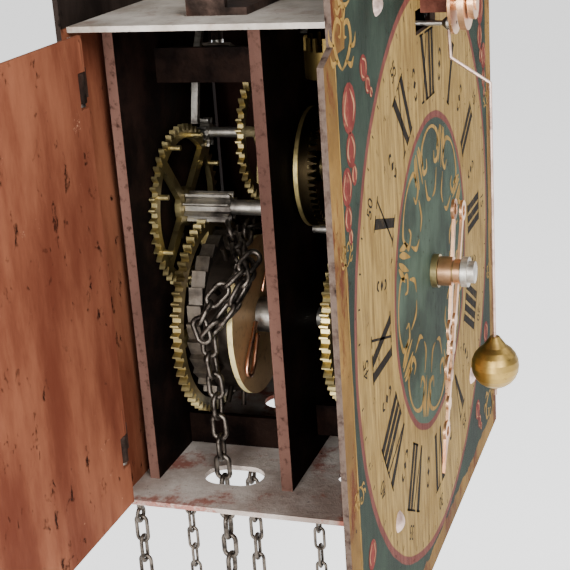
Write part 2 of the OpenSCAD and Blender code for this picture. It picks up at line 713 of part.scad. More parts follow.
// Bell and hammer on the top plate
bell_rim = roof_top + bell_lift;
bell_x = -4;
post_r = 2.6;
bell_top = bell_rim + bell_r;
module bell() color("#b08d4e") place() translate([bell_x, bell_y, bell_rim]) rotate_extrude($fn = 96)
  difference() {
    intersection() { circle(r = bell_r); square([bell_r, bell_r]); }
    circle(r = bell_r - bell_t);
    square([post_thin_r + fit_play, bell_r * 2]);
  }
post_thin_r = 1.6;
module bell_stand() color("#564a42") place() union() {
  upright(bell_x, bell_y, 5, roof_top, roof_top + 3);
  upright(bell_x, bell_y, post_r, roof_top, bell_top - bell_t - 0.3);
  upright(bell_x, bell_y, post_thin_r, roof_top, bell_top + 6);
  box_from([-33, bell_y - 5.5, roof_top], [bell_x, bell_y + 5.5, roof_top + 2]);
  box_from([-33, bell_y + 0.5, roof_top], [-31, bell_y + 5.5 + 6, roof_top + 7]);
}

hammer_arm_w = 2;
hammer_head_r = 5;
hammer_tail_y = 73.6;
hammer_lug_y = [51, 66];
module hammer_stand() color("#564a42") place() for (y = hammer_lug_y) difference() {
  union() {
    box_from([hammer_x - 4, y, roof_top], [hammer_x + 4, y + 2.5, hammer_z]);
    bar(hammer_x, hammer_z, 4, y, y + 2.5);
  }
  bar(hammer_x, hammer_z, pivot_r + 0.4 + pivot_play, y - 1, y + 3.5);
}
head_at = [bell_x + bell_r + hammer_head_r + 1, bell_rim + 4];
toe_at = [9, 41];
module hammer() color("#5f5a55") place() union() {
  bar(hammer_x, hammer_z, pivot_r + 0.4, 43.5, 76);
  bar(hammer_x, hammer_z, 2.4, hammer_lug_y[0] + 2.8, hammer_lug_y[1] - 0.3);
  slab(bell_y - hammer_arm_w / 2, bell_y + hammer_arm_w / 2)
    strip([[hammer_x, hammer_z], [hammer_x + 6, hammer_z + 12], head_at], hammer_arm_w);
  translate([head_at[0], bell_y, head_at[1]]) sphere(r = hammer_head_r);
  slab(hammer_tail_y, hammer_tail_y + hammer_arm_w)
    strip([[hammer_x, hammer_z], [24, roof_rise - 2], [14, 60], toe_at], hammer_arm_w);
}

// Going train
going_wheel_y = 25.6;
going_arbor_end = front_plate_y - 2.6;
module going_arbor() color("#96928b") place() union() {
  bar(0, great_z, great_arbor_r, front_face + end_play, middle_plate_y - end_play);
  bar(0, great_z, great_pivot_r, going_arbor_end, middle_plate_y + pivot_l);
  wheel_at(0, great_z, going_arbor_end, going_arbor_end + motion_t)
    wheel_teeth(drive_teeth, drive_module, 90);
}
drive_teeth = 20;
drive_module = great_drop / drive_teeth;

module going_great_wheel() color("#b5a06a") place()
  wheel_at(0, great_z, going_wheel_y, going_wheel_y + great_wheel_t)
    crossed(going_great_teeth, wheel_module, 90, 7, great_arbor_r + fit_play);

module going_pulley() color("#7f7b74") place() union() {
  pulley(going_r, going_half_pitches, 16.2, 22.6, going_chain_y);
  difference() {
    bar(0, great_z, going_r - 1.5, 22.6, 25.2);
    bar(0, great_z, great_arbor_r + fit_play, 22, 26);
  }
}

module going_second_arbor() color("#96928b") place() union() {
  arbor(0, going_second_z, slim_arbor_r, front_face, middle_plate_y, pivot_r);
  wheel_at(0, going_second_z, 25, 28.5)
    leaf_teeth(pinion_leaves, wheel_module, 90 + 180 / pinion_leaves);
}
going_second_y = 12.8;
slim_arbor_r = 1.3;
module going_second_wheel() color("#b5a06a") place()
  wheel_at(0, going_second_z, going_second_y, going_second_y + wheel_t)
    crossed(going_second_teeth, fine_module, 90, 5, slim_arbor_r + fit_play);

contrate_y = 33.4;
contrate_tip = 28.9;
contrate_root = 31;
contrate_half = 0.75;
module contrate_arbor() color("#96928b") place() union() {
  arbor(0, contrate_z, arbor_r, front_face, middle_plate_y, pivot_r);
  wheel_at(0, contrate_z, 12, 16) leaf_teeth(fast_leaves, fine_module, -90 + 180 / fast_leaves);
}
module contrate_wheel() color("#b3a169") place() translate([0, 0, contrate_z]) union() {
  difference() {
    bar(0, 0, contrate_r + contrate_half, contrate_root, contrate_y + wheel_t);
    bar(0, 0, contrate_r - contrate_half, contrate_root - 1, contrate_y);
    bar(0, 0, arbor_r + fit_play, contrate_y - 1, contrate_y + 3);
  }
  difference() {
    bar(0, 0, 4.5, contrate_y - 2, contrate_y + 0.5);
    bar(0, 0, arbor_r + fit_play, contrate_y - 3, contrate_y + 1);
  }
  for (i = [0 : contrate_teeth - 1]) rotate([0, i * 360 / contrate_teeth, 0])
    translate([0, 0, contrate_r - contrate_half]) linear_extrude(2 * contrate_half)
      polygon([[-0.55, contrate_root + 0.3], [-0.4, contrate_tip + 0.9], [-0.14, contrate_tip],
               [0.14, contrate_tip], [0.4, contrate_tip + 0.9], [0.55, contrate_root + 0.3]]);
}

crown_y = contrate_tip + 0.6 - fast_leaves * contrate_module / 2;
bracket_low = 41;
crown_pivot_r = 0.6;
module crown_bracket() color("#7a6f63") place() difference() {
  union() {
    for (z = [bracket_low, bracket_low + bracket_span - 5]) hull_arm(z, z + 2.4);
    box_from([-4, front_face, rail_front_z - 2.5], [4, front_face + 2.4, rail_front_z + bracket_span + 4]);
    for (z = [rail_front_z, rail_front_z + bracket_span])
      bar(0, z, pivot_r, front_plate_y, front_face + 1);
  }
  upright(0, crown_y, crown_pivot_r + pivot_play, bracket_low - 1, bracket_low + 3);
  upright(0, crown_y, crown_neck_r + pivot_play, bracket_low + 10, bracket_low + bracket_span);
}
crown_neck_r = 0.9;
module hull_arm(z0, z1) sheet(z0, z1) {
  translate([-2.4, front_face]) square([4.8, crown_y - front_face]);
  translate([0, crown_y]) circle(r = 2.4);
}

crown_web = 57.2;
crown_rim = 65;
crown_tip = 68.8;
module crown_arbor() color("#96928b") place() union() {
  upright(0, crown_y, crown_pivot_r, bracket_low + 0.2, bracket_low + 4);
  upright(0, crown_y, 1.2, bracket_low + 2.6, bracket_low + bracket_span - 5.2);
  upright(0, crown_y, crown_neck_r, bracket_low + 12, crown_web + 3);
  sheet(46.4, 50.8) translate([0, crown_y]) leaf_teeth(fast_leaves, contrate_module, 90 + 180 / fast_leaves);
}
crown_wall = 1;
module crown_wheel() color("#b5a06a") place() translate([0, crown_y, 0]) difference() {
  upright(0, 0, crown_r, crown_web, crown_tip);
  difference() {
    upright(0, 0, crown_r - crown_wall, crown_web + 1.3, crown_tip + 2);
    upright(0, 0, 2.2, crown_web, crown_web + 3);
  }
  upright(0, 0, crown_neck_r + fit_play, crown_web - 1, crown_web + 4);
  for (i = [0 : crown_teeth - 1]) rotate([0, 0, 90 + i * 360 / crown_teeth])
    box_from([crown_r - 2 * crown_wall, 0.3, crown_rim], [crown_r + 1, 2.4, crown_tip + 1]);
}

flare_y = [-6.9, -4.6];
pallet_w = 2;
module verge() color("#b9b3ab") place() translate([0, 0, verge_z]) difference() {
  union() {
    bar(0, 0, verge_r, flare_y[1], middle_plate_y + pivot_l);
    rotate([90, 0, 0]) rotate_extrude() polygon([[0, -flare_y[1]], [verge_r, -flare_y[1]],
      [flare_r, -flare_y[0] - 0.9], [flare_r, -flare_y[0]], [0, -flare_y[0]]]);
    bar(0, 0, 0.5, -8.7, flare_y[0]);
    for (s = [-1, 1]) rotate([0, s * pallet_angle, 0])
      box_from([-0.3, crown_y + s * (crown_r - 0.5) - pallet_w / 2, -pallet_l],
               [0.3, crown_y + s * (crown_r - 0.5) + pallet_w / 2, 0]);
  }
  upright(0, flare_y[0] + 0.6, pendulum_r + fit_play, -flare_r - 1, -0.6);
}
flare_r = 1.9;

module pendulum() color("#c9aaa0") place()
  wire([[0, flare_y[0] + 0.6, verge_z - 0.8], [0, flare_y[0] + 0.2, 62], [0, -pendulum_y, 54.9],
        [0, -pendulum_y, verge_z - bob_drop - 9.5]], pendulum_r);
module bob() color("#b08d4e") place() translate([0, -pendulum_y, verge_z - bob_drop]) rotate_extrude()
  difference() {
    polygon(concat([[0, -8]], [for (a = [-75 : 15 : 60]) [bob_r * cos(a), bob_r * sin(a)]], [[1.4, 9], [0, 9]]));
    translate([0, -far]) square([pendulum_r + fit_play, 2 * far]);
  }

// Front cock over the dial slot, with its pivot plate and rosette
cock_z = 75.2;
module front_cock() color("#6b4434") place() difference() {
  union() {
    box_from([-6, -7.7, cock_z], [6, 0, cock_z + 3.4]);
    box_from([-6, -1.6, cock_z + 1.5], [6, 0, cock_z + 22]);
  }
  bar(0, rosette_z, 2.5 + fit_play, -9, -6);
}
rosette_z = 77;
rosette_r = 8.5;
module cock_rosette() color("#a9884f") place() {
  difference() {
    union() {
      bar(0, rosette_z, rosette_r, -8.6, -7.8);
      bar(0, rosette_z, 2.2, -14.4, -8.6);
    }
    bar(0, verge_z, 0.5 + pivot_play, -10, -7);
  }
  difference() {
    bar(0, rosette_z, rosette_r - 1, -12, -10.2);
    bar(0, rosette_z, 2.2 + fit_play, -13, -9);
  }
  difference() {
    bar(0, rosette_z, 4.6, -14, -12.4);
    bar(0, rosette_z, 2.2 + fit_play, -15, -12);
  }
}

// Motion work between the front plate and the dial, and the hands
middle_stud_x = 12;
minute_leaves = 10;
middle_teeth = 30;
hour_leaves = 8;
hour_teeth = 32;
drive_y = front_plate_y - 2.6;
cannon_y = 3.6;
hour_y = 1.95;
nut_y = -8.5;
module wheel_studs() color("#8b857c") place() {
  bar(0, 0, stud_r, -11.5, front_face);
  bar(middle_stud_x, 0, pivot_r, hour_y - 0.1, front_face);
  bar(0, count_z, pivot_r, rear_plate_y, case_depth - 0.2);
}
module minute_works() color("#b5a06a") place() difference() {
  union() {
    wheel_at(0, 0, drive_y, drive_y + motion_t) wheel_teeth(drive_teeth, drive_module, -90 + 9);
    wheel_at(0, 0, cannon_y, cannon_y + motion_t) leaf_teeth(minute_leaves, motion_module, 18);
    bar(0, 0, minute_pipe_r, -8.2, drive_y + motion_t);
  }
  bar(0, 0, stud_r + pipe_play, -9, drive_y + 2);
}
module intermediate_wheel() color("#b5a06a") place() translate([middle_stud_x, 0, 0]) difference() {
  union() {
    slab(cannon_y, cannon_y + motion_t) wheel_teeth(middle_teeth, motion_module, 180);
    slab(hour_y, cannon_y + 0.1) leaf_teeth(hour_leaves, motion_module, 180 + 22.5);
  }
  bar(0, 0, pivot_r + pipe_play, 0, 6);
}
hour_t = 1;
module hour_works() color("#b5a06a") place() difference() {
  union() {
    wheel_at(0, 0, hour_y, hour_y + hour_t) wheel_teeth(hour_teeth, motion_module, 0);
    bar(0, 0, hour_pipe_r, -5.9, hour_y + hour_t);
  }
  bar(0, 0, minute_pipe_r + pipe_play, -7, 5);
}

module collar(r, inner, y0, y1) difference() {
  bar(0, 0, r, y0, y1);
  bar(0, 0, inner + fit_play, y0 - 1, y1 + 1);
}
module hour_hand() color("#b08d4e") place() rotate([0, hour_at, 0]) union() {
  collar(4.3, hour_pipe_r, -5.8, -2);
  difference() {
    slab(-5.8, -5.8 + hand_t) union() {
      translate([-1.1, 0]) square([2.2, hour_l - 14]);
      translate([0, 17]) circle(r = 3.2);
      translate([0, hour_l - 12]) circle(r = 4);
      translate([-0.9, -17]) square([1.8, 17]);
      translate([0, -18]) circle(r = 3);
      polygon([[-2.2, hour_l - 9], [2.2, hour_l - 9], [0, hour_l]]);
      circle(r = 4.3);
    }
    bar(0, 0, hour_pipe_r + fit_play, -7, 0);
    bar(0, 17, 1.6, -7, 0);
    bar(0, -18, 1.6, -7, 0);
    bar(0, hour_l - 12, 2.2, -7, 0);
  }
}
module minute_hand() color("#b08d4e") place() rotate([0, minute_at, 0]) union() {
  collar(3.6, minute_pipe_r, -8.1, -6.2);
  difference() {
    slab(-7.6, -7.6 + hand_t) union() {
      polygon([[-1.3, 0], [1.3, 0], [0.7, minute_l - 12], [-0.7, minute_l - 12]]);
      for (b = [14, 22, 30, 38]) translate([0, b]) circle(r = 2.1);
      translate([0, minute_l - 12]) circle(r = 3);
      polygon([[-1.8, minute_l - 10], [1.8, minute_l - 10], [0, minute_l]]);
      translate([-0.9, -16]) square([1.8, 16]);
      translate([0, -18]) circle(r = 3);
      circle(r = 3.6);
    }
    bar(0, 0, minute_pipe_r + fit_play, -9, 0);
    bar(0, minute_l - 12, 1.5, -9, 0);
    bar(0, -18, 1.6, -9, 0);
  }
}
module round_nuts() color("#d8d4cc") place() {
  difference() {
    union() {
      bar(0, 0, 4.4, -10.4, nut_y);
      bar(0, 0, 3.2, -12.2, -10.4);
    }
    bar(0, 0, stud_r + fit_play, -11.6, nut_y + 1);
  }
  difference() {
    upright(bell_x, bell_y, 4, bell_top + 0.1, bell_top + 4);
    upright(bell_x, bell_y, post_thin_r + fit_play, bell_top - 1, bell_top + 5);
  }
}

base_plate();
top_plate();
back_plate();
dial_plate();
dial_rivets();
dial_bush();
front_plate();
middle_plate();
rear_plate();
lower_rail();
upper_rail();
front_rail();
chain_hooks();
hinge_straps();
hinge_pins();
left_door();
right_door();
strike_arbor();
strike_great_wheel();
strike_ratchet();
strike_pulley();
strike_disc();
strike_click_spring();
strike_chain();
strike_weight();
second_arbor();
second_wheel();
third_arbor();
third_wheel();
fly_arbor();
fly();
count_wheel();
hammer_stand();
hammer();
bell_stand();
bell();
going_arbor();
going_great_wheel();
going_pulley();
going_chain();
going_weight();
going_second_arbor();
going_second_wheel();
contrate_arbor();
contrate_wheel();
crown_bracket();
crown_arbor();
crown_wheel();
verge();
pendulum();
bob();
front_cock();
cock_rosette();
wheel_studs();
minute_works();
intermediate_wheel();
hour_works();
hour_hand();
minute_hand();
round_nuts();
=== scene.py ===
# A small iron wall clock with a short front pendulum, dressed and lit as in its photograph.
# All places are in metres in the frame of the model: X right, Y into the wall, Z up, with the
# origin at the hanging hole. Painted work is laid out in millimetres from the dial's middle.
import math
import random

import bpy
from mathutils import Matrix, Vector


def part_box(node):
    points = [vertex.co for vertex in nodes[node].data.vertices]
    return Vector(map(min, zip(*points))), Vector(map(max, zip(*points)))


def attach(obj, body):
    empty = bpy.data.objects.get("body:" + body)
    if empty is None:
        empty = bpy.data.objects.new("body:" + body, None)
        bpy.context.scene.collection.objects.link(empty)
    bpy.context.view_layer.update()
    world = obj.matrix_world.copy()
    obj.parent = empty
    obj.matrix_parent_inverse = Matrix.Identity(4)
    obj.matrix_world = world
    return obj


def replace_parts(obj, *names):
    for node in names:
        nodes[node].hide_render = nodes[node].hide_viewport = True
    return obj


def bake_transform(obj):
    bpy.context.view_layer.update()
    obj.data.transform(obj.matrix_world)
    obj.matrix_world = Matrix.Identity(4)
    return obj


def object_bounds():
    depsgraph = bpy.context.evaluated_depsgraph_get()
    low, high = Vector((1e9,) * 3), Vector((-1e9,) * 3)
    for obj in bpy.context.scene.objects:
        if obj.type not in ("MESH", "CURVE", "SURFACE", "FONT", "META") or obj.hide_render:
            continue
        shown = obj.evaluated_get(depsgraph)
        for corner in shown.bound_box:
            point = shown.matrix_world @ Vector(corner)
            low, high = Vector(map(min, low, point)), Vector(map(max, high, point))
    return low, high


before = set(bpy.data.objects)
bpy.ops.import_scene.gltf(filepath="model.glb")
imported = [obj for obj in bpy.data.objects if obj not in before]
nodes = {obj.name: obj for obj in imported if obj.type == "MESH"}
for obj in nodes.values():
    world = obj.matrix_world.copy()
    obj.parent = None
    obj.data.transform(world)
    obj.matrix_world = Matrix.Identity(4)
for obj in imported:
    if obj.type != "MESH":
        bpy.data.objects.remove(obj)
cad_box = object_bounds()
random.seed(7)

MM = 0.001
dial_low, dial_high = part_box("dial_plate")
nut_low, nut_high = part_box("minute_works")
DIAL_Y = dial_low[1]
CENTRE = Vector(((nut_low[0] + nut_high[0]) / 2, DIAL_Y, (nut_low[2] + nut_high[2]) / 2))
DIAL_R = 83 * MM


def srgb(text):
    """A linear colour from a hexadecimal screen colour."""
    parts = [int(text[i:i + 2], 16) / 255 for i in (1, 3, 5)]
    linear = [p / 12.92 if p < 0.04045 else ((p + 0.055) / 1.055) ** 2.4 for p in parts]
    return tuple(linear) + (1.0,)


def place(x, y, z):
    """A point given in millimetres from the middle of the dial's front face."""
    return CENTRE + Vector((x, y, z)) * MM


def top_of(name):
    """Height of the top of a node."""
    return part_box(name)[1][2]


# Camera at the photograph's place, solved from the dial's rings and the case's edges; radians
CAMERA_AT = place(-364.8, -84.6, 126.8)
CAMERA_YAW = 0.3441
CAMERA_PITCH = 0.3315
CAMERA_ROLL = -0.0704
CAMERA_LENS = 85.34


def make_camera():
    """The photograph's camera, from its place, its three turns and its lens."""
    ahead = Vector((math.cos(CAMERA_PITCH) * math.cos(CAMERA_YAW),
                    math.cos(CAMERA_PITCH) * math.sin(CAMERA_YAW), -math.sin(CAMERA_PITCH)))
    right = Vector((math.sin(CAMERA_YAW), -math.cos(CAMERA_YAW), 0))
    up = right.cross(ahead)
    across = math.cos(CAMERA_ROLL) * right + math.sin(CAMERA_ROLL) * up
    upward = -math.sin(CAMERA_ROLL) * right + math.cos(CAMERA_ROLL) * up
    data = bpy.data.cameras.new("camera")
    data.lens = CAMERA_LENS
    data.clip_start = 0.01
    camera = bpy.data.objects.new("camera", data)
    camera.matrix_world = Matrix((
        (across.x, upward.x, -ahead.x, CAMERA_AT.x),
        (across.y, upward.y, -ahead.y, CAMERA_AT.y),
        (across.z, upward.z, -ahead.z, CAMERA_AT.z),
        (0, 0, 0, 1)))
    bpy.context.scene.collection.objects.link(camera)
    bpy.context.scene.camera = camera


PAINT_SHEEN = 0.02
METAL_SHEEN = 0.5


class Finish:
    """A material built from nodes, with short names for the steps that repeat."""

    def __init__(self, name, rough=0.6, metal=0.0):
        self.material = bpy.data.materials.new(name)
        self.material.use_nodes = True
        self.tree = self.material.node_tree
        self.shader = self.tree.nodes["Principled BSDF"]
        self.shader.inputs["Metallic"].default_value = metal
        self.shader.inputs["Roughness"].default_value = rough
        sheen = METAL_SHEEN if metal > 0.5 else PAINT_SHEEN
        self.shader.inputs["Specular IOR Level"].default_value = sheen
        self.coords = self.tree.nodes.new("ShaderNodeTexCoord")

    def link(self, source, target):
        self.tree.links.new(source, target)

    def feed(self, socket, value):
        """Puts another node's output or a plain value on a socket."""
        if hasattr(value, "is_linked"):
            self.link(value, socket)
        else:
            socket.default_value = value

    def math(self, what, a, b=0.0, c=0.0):
        """A sum on sockets or plain numbers."""
        node = self.tree.nodes.new("ShaderNodeMath")
        node.operation = what
        for socket, value in zip(node.inputs, (a, b, c)):
            self.feed(socket, value)
        return node.outputs[0]

    def where(self, stretch=(1, 1, 1), shift=(0, 0, 0)):
        """The place on the model, stretched and shifted."""
        node = self.tree.nodes.new("ShaderNodeMapping")
        node.inputs["Scale"].default_value = stretch
        node.inputs["Location"].default_value = shift
        self.link(self.coords.outputs["Object"], node.inputs["Vector"])
        return node.outputs["Vector"]

    def noise(self, scale, detail=5.0, rough=0.6, stretch=(1, 1, 1), shift=(0, 0, 0)):
        node = self.tree.nodes.new("ShaderNodeTexNoise")
        node.inputs["Scale"].default_value = scale
        node.inputs["Detail"].default_value = detail
        node.inputs["Roughness"].default_value = rough
        self.link(self.where(stretch, shift), node.inputs["Vector"])
        return node.outputs["Fac"]

    def step(self, value, low, high):
        """0 below low, 1 above high, smooth between."""
        node = self.tree.nodes.new("ShaderNodeMapRange")
        node.interpolation_type = "SMOOTHSTEP"
        node.inputs["From Min"].default_value = low
        node.inputs["From Max"].default_value = high
        self.link(value, node.inputs["Value"])
        return node.outputs["Result"]

    def mix(self, amount, a, b):
        """Colour a where the amount is 0, colour b where it is 1."""
        node = self.tree.nodes.new("ShaderNodeMix")
        node.data_type = "RGBA"
        self.feed(node.inputs[0], amount)
        for socket, value in ((node.inputs[6], a), (node.inputs[7], b)):
            self.feed(socket, srgb(value) if isinstance(value, str) else value)
        return node.outputs[2]

    def axis(self, letter, source="Object"):
        """One part of the place on the model or, with source "Normal", of the facing."""
        node = self.tree.nodes.new("ShaderNodeSeparateXYZ")
        self.link(self.coords.outputs[source], node.inputs[0])
        return node.outputs[letter]

    def colour(self, value):
        self.link(value, self.shader.inputs["Base Color"])

    def roughness(self, value, low, high):
        """Roughness from low to high as the value goes from 0 to 1."""
        rough = self.math("MULTIPLY_ADD", value, high - low, low)
        self.link(rough, self.shader.inputs["Roughness"])

    def bump(self, value, distance):
        node = self.tree.nodes.new("ShaderNodeBump")
        node.inputs["Distance"].default_value = distance
        node.inputs["Strength"].default_value = 1.0
        self.link(value, node.inputs["Height"])
        self.link(node.outputs["Normal"], self.shader.inputs["Normal"])


def forged_iron(name, dark, light, rust, rust_amount=0.55):
    """Old forged iron: dark, scaly, with rust that gathers in patches."""
    f = Finish(name, 0.62, 0.35)
    scale = f.noise(90, 8, 0.65)
    patch = f.noise(28, 4, 0.55, shift=(3, 1, 2))
    base = f.mix(f.step(scale, 0.35, 0.7), dark, light)
    f.colour(f.mix(f.math("MULTIPLY", f.step(patch, 0.5, 0.72), rust_amount), base, rust))
    f.roughness(scale, 0.45, 0.8)
    f.bump(f.math("ADD", scale, f.noise(420, 3, 0.6)), 0.00035)
    return f.material


def plate_iron(name):
    """Forged movement plate: reddish brown on its filed edges, near black on its faces, which is
    painted shade of the dark inside.
    """
    f = Finish(name, 0.6, 0.0)
    scale = f.noise(60, 8, 0.7)
    fine = f.noise(380, 4, 0.7)
    broad = f.noise(22, 3, 0.5, stretch=(1, 1, 0.4))
    # painted shade: the faces are given near black for the shadow inside the case
    face = f.mix(f.step(scale, 0.4, 0.7), "#0d0908", "#231713")
    edge = f.mix(f.step(broad, 0.35, 0.65), "#3c2822", "#5c4239")
    edge = f.mix(f.step(fine, 0.5, 0.75), edge, "#2b1b16")
    side = f.math("ABSOLUTE", f.axis("X", "Normal"))
    f.colour(f.mix(f.step(side, 0.5, 0.8), face, edge))
    f.roughness(scale, 0.5, 0.8)
    f.bump(f.math("ADD", scale, fine), 0.00015)
    return f.material


def old_brass(name, bright="#b5a574", dark="#4b3d22", rough=0.34):
    """Cast and filed brass with grease and tarnish in its low places."""
    f = Finish(name, rough, 1.0)
    cloud = f.noise(45, 6, 0.6)
    fine = f.noise(500, 3, 0.6, stretch=(1, 0.25, 1))
    tarnish = f.mix(f.step(cloud, 0.42, 0.72), bright, dark)
    f.colour(f.mix(f.step(fine, 0.6, 0.85), tarnish, "#241b0f"))
    f.roughness(cloud, rough - 0.12, rough + 0.22)
    f.bump(fine, 0.00006)
    return f.material


def two_way_brass(name, face, rim, rough=0.3, metal=1.0, lip_at=None):
    """Turned brass: one colour on the flat faces across the arbor, another round the rim.
    With lip_at, the far end of the rim, a narrow lip there has the colour of the faces."""
    f = Finish(name, rough, metal)
    cloud = f.noise(60, 6, 0.6)
    fine = f.noise(420, 4, 0.65)
    across = f.step(f.math("ABSOLUTE", f.axis("Y", "Normal")), 0.5, 0.8)
    base = f.mix(across, rim, face)
    if lip_at:
        lip = f.step(f.axis("Y"), lip_at - 1.4 * MM, lip_at - 1.0 * MM)
        base = f.mix(lip, base, face)
    f.colour(f.mix(f.math("MULTIPLY", f.step(fine, 0.5, 0.8), 0.6), base, "#1b140b"))
    f.roughness(cloud, rough - 0.1, rough + 0.25)
    f.bump(fine, 0.00005)
    return f.material


def old_steel(name, bright="#b3ada3", dark="#4c4642", rough=0.32):
    """Turned steel with fine lines round the arbor and dark spots."""
    f = Finish(name, rough, 1.0)
    cloud = f.noise(110, 6, 0.65)
    lines = f.noise(300, 3, 0.6, stretch=(1, 0.06, 1))
    base = f.mix(f.step(cloud, 0.4, 0.7), bright, dark)
    f.colour(f.mix(f.math("MULTIPLY", f.step(lines, 0.5, 0.8), 0.6), base, "#211c19"))
    f.roughness(cloud, rough - 0.1, rough + 0.3)
    f.bump(f.math("ADD", cloud, lines), 0.00008)
    return f.material


def chain_iron(name):
    """Dark iron wire, brighter where links rub."""
    f = Finish(name, 0.36, 1.0)
    cloud = f.noise(300, 6, 0.7)
    f.colour(f.mix(f.step(cloud, 0.4, 0.68), "#625a52", "#171311"))
    f.roughness(cloud, 0.26, 0.62)
    f.bump(cloud, 0.0002)
    return f.material


def flaking(f):
    """Streaks and chips of old paint on sheet iron, which also shape its surface."""
    streak = f.noise(55, 7, 0.65, stretch=(1, 1, 0.28))
    chips = f.noise(210, 8, 0.75, stretch=(1, 1, 0.6))
    f.roughness(chips, 0.45, 0.8)
    f.bump(f.math("ADD", streak, f.math("MULTIPLY", f.step(chips, 0.6, 0.68), -1.2)), 0.0004)
    return streak, chips


def door_paint(name, shade_inside=None):
    """Red-brown paint, streaked from top to bottom, chipped to dark iron and rubbed to light
    spots. With shade_inside, the side that faces left has that colour, painted shade on the door's
    inner face."""
    f = Finish(name, 0.6, 0.0)
    streak, chips = flaking(f)
    broad = f.noise(16, 4, 0.6, stretch=(1, 1, 0.4))
    base = f.mix(f.step(streak, 0.3, 0.75), "#5f3123", "#8d5840")
    base = f.mix(f.math("MULTIPLY", f.step(broad, 0.5, 0.75), 0.5), base, "#5a2c20")
    base = f.mix(f.step(chips, 0.63, 0.67), base, "#2c1712")
    rub = f.noise(130, 6, 0.8, shift=(5, 2, 9))
    base = f.mix(f.step(rub, 0.66, 0.74), base, "#b98c72")
    if shade_inside:
        base = f.mix(f.step(f.axis("X", "Normal"), -0.5, -0.8), base, shade_inside)
    f.colour(base)
    return f.material


# How far the top plate's flange hangs down, and where the painted shade deeper inside begins and is
# full
TOP_FLANGE = 9 * MM
SHADE_FROM_X = -34 * MM
SHADE_FULL_X = -18 * MM


def wall_paint(name):
    """The back plate: red-brown by the open door, darker deeper in as painted shade, black behind
    and above.
    """
    f = Finish(name, 0.62, 0.0)
    streak, chips = flaking(f)
    inside = f.mix(f.step(streak, 0.3, 0.75), "#5a2e20", "#8a563e")
    shaded = f.mix(f.step(streak, 0.3, 0.75), "#170d0a", "#2c1913")
    # painted shade: the back plate turns near black away from the open door, where shadow falls
    # inside
    inside = f.mix(f.step(f.axis("X"), SHADE_FROM_X, SHADE_FULL_X), inside, shaded)
    inside = f.mix(f.step(chips, 0.62, 0.66), inside, "#2a1611")
    black = f.mix(f.step(streak, 0.35, 0.7), "#15100e", "#2c2420")
    roof = top_of("top_plate") - TOP_FLANGE
    above = f.step(f.axis("Z"), roof - 0.5 * MM, roof)
    facing = f.step(f.axis("Y", "Normal"), -0.4, -0.2)
    f.colour(f.mix(f.math("MAXIMUM", above, facing), inside, black))
    return f.material


def case_paint(name, light="#b8aea5", dark="#87776d", red="#7c3b2c", red_amount=0.8):
    """Worn grey paint of the base and top, with red primer showing through."""
    f = Finish(name, 0.62, 0.1)
    cloud = f.noise(38, 7, 0.65)
    base = f.mix(f.step(cloud, 0.35, 0.7), light, dark)
    primer = f.noise(52, 7, 0.7, shift=(1, 7, 3))
    base = f.mix(f.math("MULTIPLY", f.step(primer, 0.52, 0.64), red_amount), base, red)
    grit = f.noise(420, 5, 0.75)
    base = f.mix(f.step(grit, 0.62, 0.72), base, "#3b2c27")
    f.colour(base)
    f.roughness(cloud, 0.45, 0.8)
    f.bump(f.math("ADD", cloud, grit), 0.0003)
    return f.material


# The dial's painted rings and border: half a ring's width, the inner ring's radius, the height
# and depth of the dial's shoulders, and the border's width at the sides and at the foot
RING_HALF = 1.2 * MM
INNER_RING = 0.548 * DIAL_R
SHOULDER_Z = 78 * MM
SHOULDER_STEP = 7.5 * MM
BORDER_WIDE = 9.2 * MM
BORDER_FOOT = 6.5 * MM


